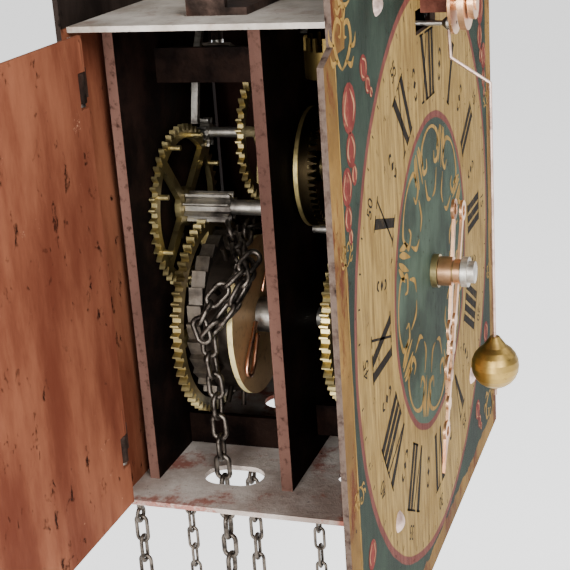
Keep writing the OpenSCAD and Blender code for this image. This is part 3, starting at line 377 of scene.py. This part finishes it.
def dial_paint(name):
    """The dial's painted ground: cream chapter ring, red rings, green ground and ochre border."""
    f = Finish(name, 0.58, 0.0)
    x = f.axis("X")
    z = f.math("SUBTRACT", f.axis("Z"), CENTRE.z)
    waver = f.math("MULTIPLY_ADD", f.noise(60, 3, 0.5), 1.2 * MM, -0.6 * MM)
    square = f.math("ADD", f.math("MULTIPLY", x, x), f.math("MULTIPLY", z, z))
    radius = f.math("ADD", f.math("SQRT", square), waver)
    grain = f.noise(420, 7, 0.7, stretch=(1, 1, 0.12))
    cloud = f.noise(34, 6, 0.62)
    spots = f.noise(330, 6, 0.75)

    cream = f.mix(f.step(grain, 0.3, 0.72), "#644e2c", "#9c814b")
    cream = f.mix(f.math("MULTIPLY", f.step(cloud, 0.45, 0.75), 0.65), cream, "#6e5630")
    green = f.mix(f.step(cloud, 0.35, 0.7), "#262e27", "#465347")
    green = f.mix(f.math("MULTIPLY", f.step(grain, 0.45, 0.8), 0.5), green, "#18221d")
    red = f.mix(f.step(grain, 0.35, 0.75), "#532b25", "#71413a")
    ochre = f.mix(f.step(cloud, 0.35, 0.7), "#5c421f", "#876838")
    ochre = f.mix(f.step(f.noise(90, 7, 0.75, stretch=(1, 1, 0.35)), 0.48, 0.62), ochre, "#4e2412")

    soft = 0.4 * MM
    ring_in, ring_out = DIAL_R - RING_HALF, DIAL_R + RING_HALF
    paint = f.mix(f.step(radius, ring_in, ring_in + soft), cream, red)
    outer_green = f.mix(0.5, green, "#0e1511")
    paint = f.mix(f.step(radius, ring_out - soft / 2, ring_out + soft / 2), paint, outer_green)
    ring_in, ring_out = INNER_RING - RING_HALF, INNER_RING + 0.8 * MM
    paint = f.mix(f.step(radius, ring_out + soft / 2, ring_out - soft / 2), paint, red)
    paint = f.mix(f.step(radius, ring_in + soft / 2, ring_in - soft / 2), paint, green)

    side = f.math("ABSOLUTE", x)
    neck = f.step(z, SHOULDER_Z, SHOULDER_Z + 0.5 * MM)
    half = f.math("MULTIPLY_ADD", neck, -SHOULDER_STEP, dial_high[0])
    ragged = f.math("MULTIPLY_ADD", f.noise(120, 5, 0.7, stretch=(1, 1, 0.5)), 6 * MM, -3 * MM)
    inward = f.math("ADD", f.math("SUBTRACT", side, half), ragged)
    edge = f.step(inward, -BORDER_WIDE, -BORDER_WIDE + 0.8 * MM)
    foot_top = dial_low[2] - CENTRE.z + BORDER_FOOT
    foot = f.step(f.math("ADD", z, ragged), foot_top, foot_top - 0.5 * MM)
    rim = f.math("MAXIMUM", edge, foot)
    paint = f.mix(rim, paint, ochre)
    worn = f.step(spots, 0.63, 0.70)
    paint = f.mix(worn, paint, "#2d2119")
    lost = f.step(f.noise(110, 8, 0.78, stretch=(1, 1, 0.7), shift=(4, 4, 1)), 0.69, 0.73)
    paint = f.mix(lost, paint, "#5c3a26")
    back = f.axis("Y", "Normal")
    paint = f.mix(f.step(back, 0.3, 0.5), paint, "#2b2320")
    thin = f.math("SUBTRACT", 1.0, f.math("ABSOLUTE", back))
    bare = f.mix(f.step(spots, 0.4, 0.7), "#51443c", "#2a1f1a")
    paint = f.mix(f.step(thin, 0.5, 0.8), paint, bare)
    f.colour(paint)
    f.roughness(cloud, 0.42, 0.75)
    f.bump(f.math("ADD", grain, f.math("MULTIPLY", f.math("ADD", worn, lost), -1.0)), 0.0002)
    return f.material


def brush_paint(name, light, dark, worn="#6f5f45", amount=0.45):
    """Thin old brushwork, rubbed through in places."""
    f = Finish(name, 0.6, 0.0)
    grain = f.noise(420, 7, 0.7, stretch=(1, 1, 0.15))
    rub = f.noise(240, 7, 0.75)
    base = f.mix(f.step(grain, 0.3, 0.7), light, dark)
    f.colour(f.mix(f.math("MULTIPLY", f.step(rub, 0.52, 0.66), amount), base, worn))
    f.bump(grain, 0.0001)
    return f.material


def make_materials():
    """All materials by their keys in MATERIAL_OF, and those of the painted work."""
    contrate_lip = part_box("contrate_wheel")[1][1]
    return {
        "plates": plate_iron("plates"),
        "iron": forged_iron("iron", "#1d1714", "#4a3b34", "#5b3323"),
        "lead": forged_iron("lead", "#2e2c2b", "#55504c", "#4b3a31", 0.3),
        "cock": forged_iron("cock", "#3a201a", "#6a4236", "#7a4a3c"),
        "brass": old_brass("brass"),
        # the strike disc's bright, half-metallic face is partly its brass colour and partly a
        # painted highlight
        "disc": two_way_brass("disc", "#b8946a", "#d2c08a", 0.3, 0.3),
        # the contrate wheel's rim is painted near black as shade over its teeth, all but a narrow
        # lip in brass colour
        "contrate": two_way_brass("contrate", "#cdb87c", "#1e180e", lip_at=contrate_lip),
        # a darkened copy of brass for wheels deep inside: painted shade
        "shaded_brass": old_brass("shaded_brass", "#5e4e2c", "#1f180d", 0.45),
        # the rails' iron is darkened near black as painted shade for their place inside
        "rails": forged_iron("rails", "#0a0605", "#1d130f", "#27160f", 0.4),
        "drum": old_steel("drum", "#3a332d", "#15110e", 0.45),
        "bell": old_brass("bell", "#a98c4c", "#5b4424", 0.35),
        "hands": old_brass("hands", "#dcae86", "#a06a48", 0.26),
        "steel": old_steel("steel"),
        "grey": old_steel("grey", "#6d655c", "#332c27", 0.38),
        "nut": old_steel("nut", "#e2ded6", "#9b948a", 0.3),
        "wire": old_steel("wire", "#d9bdb0", "#a5897c", 0.4),
        "copper": old_brass("copper", "#e0a482", "#b0704e", 0.25),
        "chain": chain_iron("chain"),
        "door": door_paint("door"),
        # the shut door's inside face is painted near black as shade
        "shut_door": door_paint("shut_door", "#1c0f0b"),
        "base": case_paint("base"),
        "top": case_paint("top", "#c4bcb2", "#8d8276", "#6b3a2b", 0.35),
        "back": wall_paint("back"),
        "dial": dial_paint("dial"),
        "cream": brush_paint("cream", "#a88d58", "#7d6738"),
        "ochre": brush_paint("ochre", "#99783f", "#6f5428", "#3a4030"),
        "petal": brush_paint("petal", "#a57a5a", "#83523f", "#6b302a"),
        "rose": brush_paint("rose", "#6f2f2a", "#4b1e1b", "#8e6048"),
        "ink": brush_paint("ink", "#0f0c0a", "#1d1712", "#5c4a2b", 0.4),
    }


MATERIAL_OF = {
    "plates": ["front_plate", "middle_plate", "rear_plate"],
    "rails": ["lower_rail", "upper_rail", "front_rail"],
    "drum": ["strike_pulley", "going_pulley"],
    "contrate": ["contrate_wheel"],
    "iron": ["bell_stand", "hammer_stand", "crown_bracket", "hinge_straps"],
    "lead": ["strike_weight", "going_weight"],
    "cock": ["front_cock"],
    "brass": ["strike_great_wheel", "second_wheel", "third_wheel", "count_wheel",
              "going_great_wheel", "minute_works", "intermediate_wheel", "hour_works",
              "dial_bush"],
    "shaded_brass": ["crown_wheel", "going_second_wheel"],
    "disc": ["strike_disc"],
    "bell": ["bell", "bob"],
    "hands": ["hour_hand", "minute_hand", "cock_rosette"],
    "steel": ["strike_arbor", "second_arbor", "third_arbor", "fly_arbor", "going_arbor",
              "going_second_arbor", "contrate_arbor", "crown_arbor", "verge", "wheel_studs",
              "hinge_pins", "hammer"],
    "grey": ["strike_ratchet", "fly"],
    "nut": ["round_nuts"],
    "wire": ["pendulum", "dial_rivets"],
    "copper": ["strike_click_spring"],
    "chain": ["strike_chain", "going_chain", "chain_hooks"],
    "door": ["left_door"],
    "shut_door": ["right_door"],
    "base": ["base_plate"],
    "top": ["top_plate"],
    "back": ["back_plate"],
    "dial": ["dial_plate"],
}


def dress(m):
    """Gives each node its material."""
    for key, names in MATERIAL_OF.items():
        for name in names:
            mesh = nodes[name].data
            mesh.materials.clear()
            mesh.materials.append(m[key])


def mesh_piece(name, verts, faces, material, body="case", smooth=False):
    mesh = bpy.data.meshes.new(name)
    mesh.from_pydata([tuple(v) for v in verts], [], faces)
    mesh.update()
    if smooth:
        mesh.polygons.foreach_set("use_smooth", [True] * len(mesh.polygons))
    piece = bpy.data.objects.new(name, mesh)
    bpy.context.scene.collection.objects.link(piece)
    mesh.materials.append(material)
    if body:
        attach(piece, body)
    return piece


PAINT_LIFT = 0.05
UPPER_LIFT = 0.1


class Artwork:
    """Flat shapes painted on the dial, given in millimetres from its middle. The lift is their
    height over the dial, also in millimetres."""

    def __init__(self, lift=PAINT_LIFT):
        self.lift = lift
        self.verts = []
        self.faces = []

    def shape(self, points):
        """A flat face through the points."""
        start = len(self.verts)
        self.verts += [place(x, -self.lift, z) for x, z in points]
        self.faces.append(list(range(start, start + len(points))))

    def ribbon(self, points, widths):
        """A brush stroke through the points, with a width at each."""
        line = smooth_line(points, widths)
        left, right = [], []
        for i, (x, z, w) in enumerate(line):
            ax, az, _ = line[max(i - 1, 0)]
            bx, bz, _ = line[min(i + 1, len(line) - 1)]
            length = math.hypot(bx - ax, bz - az) or 1
            nx, nz = -(bz - az) / length * w / 2, (bx - ax) / length * w / 2
            left.append((x + nx, z + nz))
            right.append((x - nx, z - nz))
        for i in range(len(line) - 1):
            self.shape([left[i], left[i + 1], right[i + 1], right[i]])

    def make(self, name, material):
        return mesh_piece(name, self.verts, self.faces, material)


def smooth_line(points, widths, steps=8):
    """Points on a smooth curve through the given ones, each with its width or third measure."""
    out = []
    data = [(x, z, w) for (x, z), w in zip(points, widths)]
    for i in range(len(data) - 1):
        p0, p1 = data[max(i - 1, 0)], data[i]
        p2, p3 = data[i + 1], data[min(i + 2, len(data) - 1)]
        for k in range(steps):
            t = k / steps
            out.append(tuple(0.5 * (2 * b + (c - a) * t + (2 * a - 5 * b + 4 * c - d) * t * t
                                    + (3 * b - a - 3 * c + d) * t ** 3)
                             for a, b, c, d in zip(p0, p1, p2, p3)))
    out.append(data[-1])
    return out


def turned(points, clockwise, radius=0.0, mirror=False):
    """Points given as (across, outward) turned to a direction on the dial."""
    a = math.radians(clockwise)
    out = []
    for u, v in points:
        u = -u if mirror else u
        v += radius
        out.append((u * math.cos(a) + v * math.sin(a), v * math.cos(a) - u * math.sin(a)))
    return out


NUMERALS = ["XII", "I", "II", "III", "IIII", "V", "VI", "VII", "VIII", "IX", "X", "XI"]
# Radii and sizes of the chapter ring's lettering, in millimetres
NUMERAL_IN = 50.5
NUMERAL_H = 19.0
THICK = 2.4
THIN = 0.7
SERIF = 0.6
LETTER_HALF = 2.9
LETTER_W = {"I": 3.5, "V": 9.0, "X": 9.6}
WIDENING = 0.004
HALF_MARK = 59.5
TICK_IN = 79.5
TICK_HALF = 0.22
TICK_H = 1.5
MINUTE_IN = 73.2
MINUTE_SIZE = 6.2


def block(left, right, low, high):
    """The four corners of an upright oblong."""
    return [(left, low), (right, low), (right, high), (left, high)]


def letter_strokes(letter):
    """Each stroke of one letter of a Roman numeral as four corners, about the letter's foot."""
    h, half = NUMERAL_H, LETTER_HALF
    head = h - SERIF
    if letter == "I":
        return [block(-THICK / 2, THICK / 2, 0, h), block(-1.6, 1.6, 0, SERIF),
                block(-1.6, 1.6, head, h)]
    serifs = [block(-half - 1.4, -half + 2.6, head, h), block(half - 1.6, half + 1.4, head, h)]
    if letter == "V":
        return serifs + [[(-half - 0.6, h), (-half + THICK, h), (0.6, 0), (-0.6, 0)],
                         [(half, h), (half + THIN, h), (0.5, 0), (-0.2, 0)]]
    thick = [(-half - 0.8, h), (-half + THICK - 0.6, h), (half + 0.8, 0), (half - THICK + 0.6, 0)]
    thin = [(half, h), (half + THIN, h), (-half + THIN, 0), (-half, 0)]
    return serifs + [thick, thin, block(-half - 1.2, -half + 1.8, 0, SERIF),
                     block(half - 2.0, half + 1.6, 0, SERIF)]


def paint_numerals(m):
    """Hour numerals, marks for the half hours and ticks for the minutes."""
    art = Artwork()
    for hour, word in enumerate(NUMERALS):
        width = sum(LETTER_W[c] for c in word)
        at = -width / 2
        for c in word:
            at += LETTER_W[c] / 2
            for stroke in letter_strokes(c):
                spread = [(u * (1 + WIDENING * v) + at, v) for u, v in stroke]
                art.shape(turned(spread, hour * 30, NUMERAL_IN))
            at += LETTER_W[c] / 2
        fleur = [(0, -1.2), (-1.5, 0), (0, 1.2), (1.5, 0)]
        art.shape(turned(fleur, hour * 30 + 15, HALF_MARK))
        for s in (-1, 1):
            curl = [(-1.3, s * 2.6), (-0.4, s * 4.2), (0.9, s * 3.8), (1.1, s * 2.7)]
            art.ribbon(turned(curl, hour * 30 + 15, HALF_MARK), [0.3, 0.9, 0.9, 0.4])
    for minute in range(60):
        if minute % 5:
            tick = block(-TICK_HALF, TICK_HALF, 0, TICK_H)
            art.shape(turned(tick, minute * 6, TICK_IN))
    art.make("painted_numerals", m["ink"])


def paint_minutes(m):
    """Small minute numbers round the outside of the chapter ring."""
    verts, faces = [], []
    for k in range(12):
        curve = bpy.data.curves.new("minute", "FONT")
        curve.body = str(k * 5 or 60)
        curve.align_x = "CENTER"
        curve.size = MINUTE_SIZE
        curve.resolution_u = 3
        text = bpy.data.objects.new("minute", curve)
        bpy.context.scene.collection.objects.link(text)
        mesh = bpy.data.meshes.new_from_object(text)
        start = len(verts)
        narrow = [(v.co.x * 0.85, v.co.y) for v in mesh.vertices]
        flat = turned(narrow, k * 30, MINUTE_IN)
        verts += [place(x, -PAINT_LIFT, z) for x, z in flat]
        faces += [[start + i for i in p.vertices] for p in mesh.polygons]
        bpy.data.objects.remove(text)
        bpy.data.meshes.remove(mesh)
    mesh_piece("painted_minutes", verts, faces, m["ink"])


def scroll(art, turn, radius, size, mirror=False):
    """A C-scroll with a curled end and two leaves."""
    s = size
    spine = [(0, 0), (4 * s, 2.5 * s), (7 * s, 7 * s), (5 * s, 11 * s), (1.5 * s, 10.5 * s),
             (1.5 * s, 7.8 * s), (3.4 * s, 7.6 * s)]
    low_leaf = [(3.5 * s, 2.2 * s), (7.5 * s, 1.2 * s), (9.5 * s, 3.2 * s)]
    high_leaf = [(6.5 * s, 5.5 * s), (10 * s, 6.2 * s), (11 * s, 9 * s)]
    spine_widths = [0.5 * s, 1.5 * s, 1.8 * s, 1.5 * s, 1.1 * s, 0.9 * s, 0.3]
    for stroke, widths in ((spine, spine_widths), (low_leaf, [0.4, 1.5 * s, 0.3]),
                           (high_leaf, [0.4, 1.4 * s, 0.3])):
        art.ribbon(turned(stroke, turn, radius, mirror), widths)


def polar(radius, clockwise):
    """A point on the dial by its distance from the middle and its degrees from twelve."""
    a = math.radians(clockwise)
    return (radius * math.sin(a), radius * math.cos(a))


def paint_middle(m):
    """Arches and leaf clusters in the green disc, close inside the inner red ring."""
    art = Artwork()
    for k in range(8):
        mid = 45 * k
        arch = [polar(36, mid - 15), polar(40, mid - 14), polar(42.2, mid - 5),
                polar(42.2, mid + 5), polar(40, mid + 14), polar(36, mid + 15)]
        art.ribbon(arch, [0.4, 1.5, 0.9, 0.9, 1.5, 0.4])
        for s in (-1, 1):
            curl = [polar(38, mid + s * 15), polar(33, mid + s * 16), polar(32, mid + s * 9),
                    polar(35, mid + s * 8)]
            art.ribbon(curl, [0.5, 1.6, 1.2, 0.5])
            drop = [polar(30, mid + s * 14), polar(24, mid + s * 12), polar(22, mid + s * 3)]
            art.ribbon(drop, [0.4, 1.5, 0.4])
        for lean, reach in ((-9, 35), (-4, 31.5), (3, 30.5), (8, 34)):
            leaf = [polar(42.5, mid + 22.5 + lean * 0.4), polar(38, mid + 22.5 + lean * 0.7),
                    polar(reach, mid + 22.5 + lean)]
            art.ribbon(leaf, [0.6, 2.0, 0.4])
    art.make("painted_scrolls", m["ochre"])


def oval(x, z, wide, high, turn, sides=16):
    """Points round an oval with its middle at (x, z)."""
    angles = [2 * math.pi * k / sides for k in range(sides)]
    points = [(wide / 2 * math.cos(a), high / 2 * math.sin(a)) for a in angles]
    return [(x + u, z + v) for u, v in turned(points, turn)]


def rose_bud(red, light, x, z, size, turn):
    """A bud of stacked red ovals, with cream strokes on its petals."""
    parts = ((0, 3.4, 8.6, 9.4), (-0.6, -4.2, 6.0, 6.6), (0.4, -9.2, 3.4, 4.2))
    for u, v, wide, high in parts:
        (du, dv), = turned([(u * size, v * size)], turn)
        red.shape(oval(x + du, z + dv, wide * size, high * size, turn))
        for s in (-1, 1):
            stroke = [(u * size + s * 0.2 * wide * size, (v - 0.3 * high) * size),
                      (u * size + s * 0.36 * wide * size, v * size),
                      (u * size + s * 0.12 * wide * size, (v + 0.36 * high) * size)]
            light.ribbon([(x + p, z + q) for p, q in turned(stroke, turn)], [0.3, 0.9 * size, 0.3])


def corner_scrolls(art, x, z, turn, size, flip):
    """A pair of scrolls that part from one point; flip is -1 on the dial's left half, else 1."""
    for mirror in (False, True):
        part = Artwork()
        scroll(part, turn, 0, size, mirror)
        for face in part.faces:
            points = [part.verts[i] - CENTRE for i in face]
            art.shape([((p.x / MM + x) * flip, p.z / MM + z) for p in points])


def paint_ground(m):
    """Scrolls, leaves and rose buds on the green ground outside the chapter ring."""
    cream, rose, ochre = Artwork(UPPER_LIFT), Artwork(), Artwork()
    for side in (-1, 1):
        for x, z, turn, size in ((82, 74, -10, 0.95), (84, -74, 200, 0.9), (74, 88, 40, 0.8),
                                 (86, 30, 0, 0.45), (86, -26, 180, 0.45)):
            corner_scrolls(ochre, x, z, turn, size, side)
        for x, z, size, turn in ((63.5, 69.5, 0.7, 38), (78, 60.5, 1.25, 4), (82.8, 44.5, 0.95, 2),
                                 (78.5, -52, 0.85, -14), (62, -74, 0.8, -30)):
            rose_bud(rose, cream, side * x, z, size, side * turn)
        border = [(side * 87.2, z) for z in (-90, -60, -30, 0, 30, 60, 76)]
        ochre.ribbon(border, [0.9, 0.6, 1.0, 0.5, 1.0, 0.6, 0.8])
    for x, z, size, turn in ((0, 118, 1.1, 0), (-15, 112, 0.8, -35), (15, 112, 0.8, 35)):
        rose_bud(rose, cream, x, z, size, turn)
    for flip in (-1, 1):
        for turn, at, size in ((30, 100, 1.5), (62, 96, 1.3)):
            corner_scrolls(ochre, 10, at, turn, size, flip)
    cream.make("painted_petals", m["petal"])
    rose.make("painted_buds", m["rose"])
    ochre.make("painted_corners", m["ochre"])


# A link's steps round and its sizes in millimetres; the wire is a radius
LINK_STEPS = 16
LINK_PITCH = 6.65
LINK_WIDE = 4.1
LINK_WIRE = 0.78
LINK_LAP = 0.9
# How far links are turned out of true, in radians, and the share of it that all have
ASKEW = 0.12
HEAP_ASKEW = 0.5
ASKEW_SHARE = 0.6
# Where the chains lie, in millimetres from the dial's middle
DRUM_Z = -16.4
TAIL_END = -68.0
HANG_FROM = -40.0
EYE_DROP = 1.5
STRIKE_R = 27.6
STRIKE_Y = 60.0
GOING_R = 21.2
GOING_Y = 19.4


class Bars:
    """Round bars, wires and chain links gathered into one piece, given in millimetres."""

    def __init__(self):
        self.verts = []
        self.faces = []

    def bar(self, path, radius, closed=False, sides=8):
        """A round bar along a path, capped at its ends or closed to a ring."""
        points = [Vector(p) for p in path]
        count, start, side = len(points), len(self.verts), None
        for i, p in enumerate(points):
            before = points[i - 1] if closed or i else p
            after = points[(i + 1) % count] if closed or i < count - 1 else p
            along = (after - before).normalized()
            side = side or along.orthogonal().normalized()
            side = (side - along * side.dot(along)).normalized()
            other = along.cross(side)
            for k in range(sides):
                a = 2 * math.pi * k / sides
                self.verts.append(place(*(p + (side * math.cos(a) + other * math.sin(a)) * radius)))
        for i in range(count if closed else count - 1):
            here, there = start + i * sides, start + (i + 1) % count * sides
            for k in range(sides):
                n = (k + 1) % sides
                self.faces.append((here + k, here + n, there + n, there + k))
        if not closed:
            self.faces.append(tuple(start + k for k in reversed(range(sides))))
            self.faces.append(tuple(start + (count - 1) * sides + k for k in range(sides)))

    def link(self, middle, along, across, length, width, wire):
        """One long link; wire is its bar's radius."""
        points = []
        for k in range(LINK_STEPS):
            a = 2 * math.pi * (k + 0.5) / LINK_STEPS
            rise = math.sin(a) * width / 2 + math.copysign((length - width) / 2, math.sin(a))
            points.append(middle + across * math.cos(a) * width / 2 + along * rise)
        self.bar(points, wire, True)

    def chain(self, path, jitter, lower=None):
        """Links laid along a path, each a quarter turn from the one before and a little askew.
        Those under HANG_FROM go into lower, where it is given."""
        line = [Vector(p) for p in smooth_line([p[:2] for p in path], [p[2] for p in path])]
        stops, gone = [line[0]], 0.0
        for a, b in zip(line, line[1:]):
            step = (b - a).length
            while gone + step >= LINK_PITCH:
                t = (LINK_PITCH - gone) / step
                a = a.lerp(b, t)
                step = (b - a).length
                gone = 0.0
                stops.append(a.copy())
            gone += step
        for i, (a, b) in enumerate(zip(stops, stops[1:])):
            along = (b - a).normalized()
            across = along.cross(Vector((0, 1, 0))).normalized()
            angle = i % 2 * math.pi / 2 + random.uniform(-jitter, jitter)
            across = Matrix.Rotation(angle + ASKEW_SHARE * jitter, 3, along) @ across
            middle = (a + b) / 2
            into = lower if lower and middle.z < HANG_FROM else self
            into.link(middle, along, across, LINK_PITCH + LINK_LAP, LINK_WIDE, LINK_WIRE)

    def make(self, name, material, body):
        return mesh_piece(name, self.verts, self.faces, material, body, True)


def round_drum(radius, turns):
    """Points over a drum, from (degrees from the top towards the open side, y, lift)."""
    out = []
    for degrees, y, lift in turns:
        a = math.radians(degrees)
        out.append((-math.sin(a) * (radius + lift), y, DRUM_Z + math.cos(a) * (radius + lift)))
    return out


def lay_chain(m, name, node, weight, radius, y, turns, heap):
    """A chain: its tail, its turn over the drum, any links heaped on it, and its run down to
    the top of the weight where it now hangs."""
    end = (top_of(weight) - CENTRE.z) / MM - EYE_DROP
    tail = [(radius, y, TAIL_END), (radius, y, HANG_FROM), (radius, y, DRUM_Z - 6)]
    run = [(-radius, y, DRUM_Z - 12), (-radius, y, -60), (-radius, y, end)]
    bars, hanging = Bars(), Bars()
    bars.chain(tail, ASKEW)
    bars.chain(round_drum(radius, turns) + run, ASKEW, hanging)
    if heap:
        bars.chain(round_drum(radius, heap), HEAP_ASKEW)
    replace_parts(bars.make(name, m["chain"], "case"), node)
    piece = hanging.make(name + "_run", m["chain"], None)
    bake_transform(piece)


def lay_chains(m):
    """The striking chain lies bunched over its drum, the going chain in a plain half turn."""
    wound = ((-88, 60, 0), (-60, 60, 0), (-20, 58, 0), (10, 56, 0), (30, 53, 0), (48, 50, 0),
             (62, 53, 0), (76, 59, 0), (86, 61, 0.6))
    heap = ((8, 61, 2), (24, 57, 3), (38, 53, 3.5), (52, 50, 3), (66, 53, 3.5), (78, 58, 4),
            (84, 62, 3), (74, 62, 4), (60, 57, 4.5), (44, 50, 4), (30, 47, 3))
    lay_chain(m, "wound_chain", "strike_chain", "strike_weight", STRIKE_R, STRIKE_Y,
              wound, heap)
    plain = [(degrees, GOING_Y, 0) for degrees in (-88, -60, -30, 0, 30, 60, 85)]
    lay_chain(m, "plain_chain", "going_chain", "going_weight", GOING_R, GOING_Y,
              plain, None)


SPRING_BODY = "strike_drum"
SPRING_Y = 53.0
HAIRPIN_WIRE = 0.72
STRAIGHT_WIRE = 0.6


def bend_springs(m):
    """Copper wire springs on the striking disc: a hairpin and a straight wire."""
    bars = Bars()
    hairpin = [(-9.0, -15.5), (-13.5, -20.0), (-18.0, -24.5), (-19.3, -27.5), (-17.2, -29.6),
               (-14.0, -28.4), (-11.0, -24.0), (-8.0, -19.6)]
    bars.bar(smooth_line([(x, SPRING_Y) for x, _ in hairpin], [z for _, z in hairpin]),
             HAIRPIN_WIRE)
    bars.bar([(x, SPRING_Y, z) for x, z in ((7.0, 1.5), (2.8, -3.6), (-1.6, -8.4))],
             STRAIGHT_WIRE)
    piece = bars.make("wire_springs", m["copper"], SPRING_BODY)
    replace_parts(piece, "strike_click_spring")


WORLD_LIGHT = 0.42
FLOOR_GLOW = 1.1
FLOOR_HALF = 6
FLOOR_DROP = 0.01
# Name, place in millimetres from the dial's middle, size in metres and power in watts
LIGHTS = (("key", (-620, -520, 480), 0.4, 11), ("fill", (-800, 60, 120), 0.35, 11),
          ("rim", (300, -500, 500), 0.5, 2.5), ("rear", (200, 700, 500), 0.6, 2))


def area_light(name, at, aim, size, power):
    """A square light that faces the aim."""
    data = bpy.data.lights.new(name, "AREA")
    data.size = size
    data.energy = power
    light = bpy.data.objects.new(name, data)
    light.location = at
    light.rotation_euler = (Vector(aim) - Vector(at)).to_track_quat("-Z", "Y").to_euler()
    bpy.context.scene.collection.objects.link(light)


def make_studio():
    """An even white world and floor, a key and a fill from the open side, two weak lights."""
    world = bpy.data.worlds.new("studio")
    world.use_nodes = True
    background = world.node_tree.nodes["Background"]
    background.inputs["Color"].default_value = (1, 1, 1, 1)
    background.inputs["Strength"].default_value = WORLD_LIGHT
    bpy.context.scene.world = world
    f = Finish("floor", 0.9)
    f.colour(f.mix(f.step(f.noise(3, 2), 0.3, 0.7), "#f6f6f6", "#fbfbfb"))
    f.shader.inputs["Emission Color"].default_value = (1, 1, 1, 1)
    f.shader.inputs["Emission Strength"].default_value = FLOOR_GLOW
    mesh = bpy.data.meshes.new("floor")
    z = cad_box[0][2] - FLOOR_DROP
    corners = block(-FLOOR_HALF, FLOOR_HALF, -FLOOR_HALF, FLOOR_HALF)
    mesh.from_pydata([(x, y, z) for x, y in corners], [], [(0, 1, 2, 3)])
    floor = bpy.data.objects.new("floor", mesh)
    mesh.materials.append(f.material)
    bpy.context.scene.collection.objects.link(floor)
    aim = place(0, 40, 0)
    for name, at, size, power in LIGHTS:
        area_light(name, place(*at), aim, size, power)


make_camera()
materials = make_materials()
dress(materials)
paint_numerals(materials)
paint_minutes(materials)
paint_middle(materials)
paint_ground(materials)
lay_chains(materials)
bend_springs(materials)
make_studio()
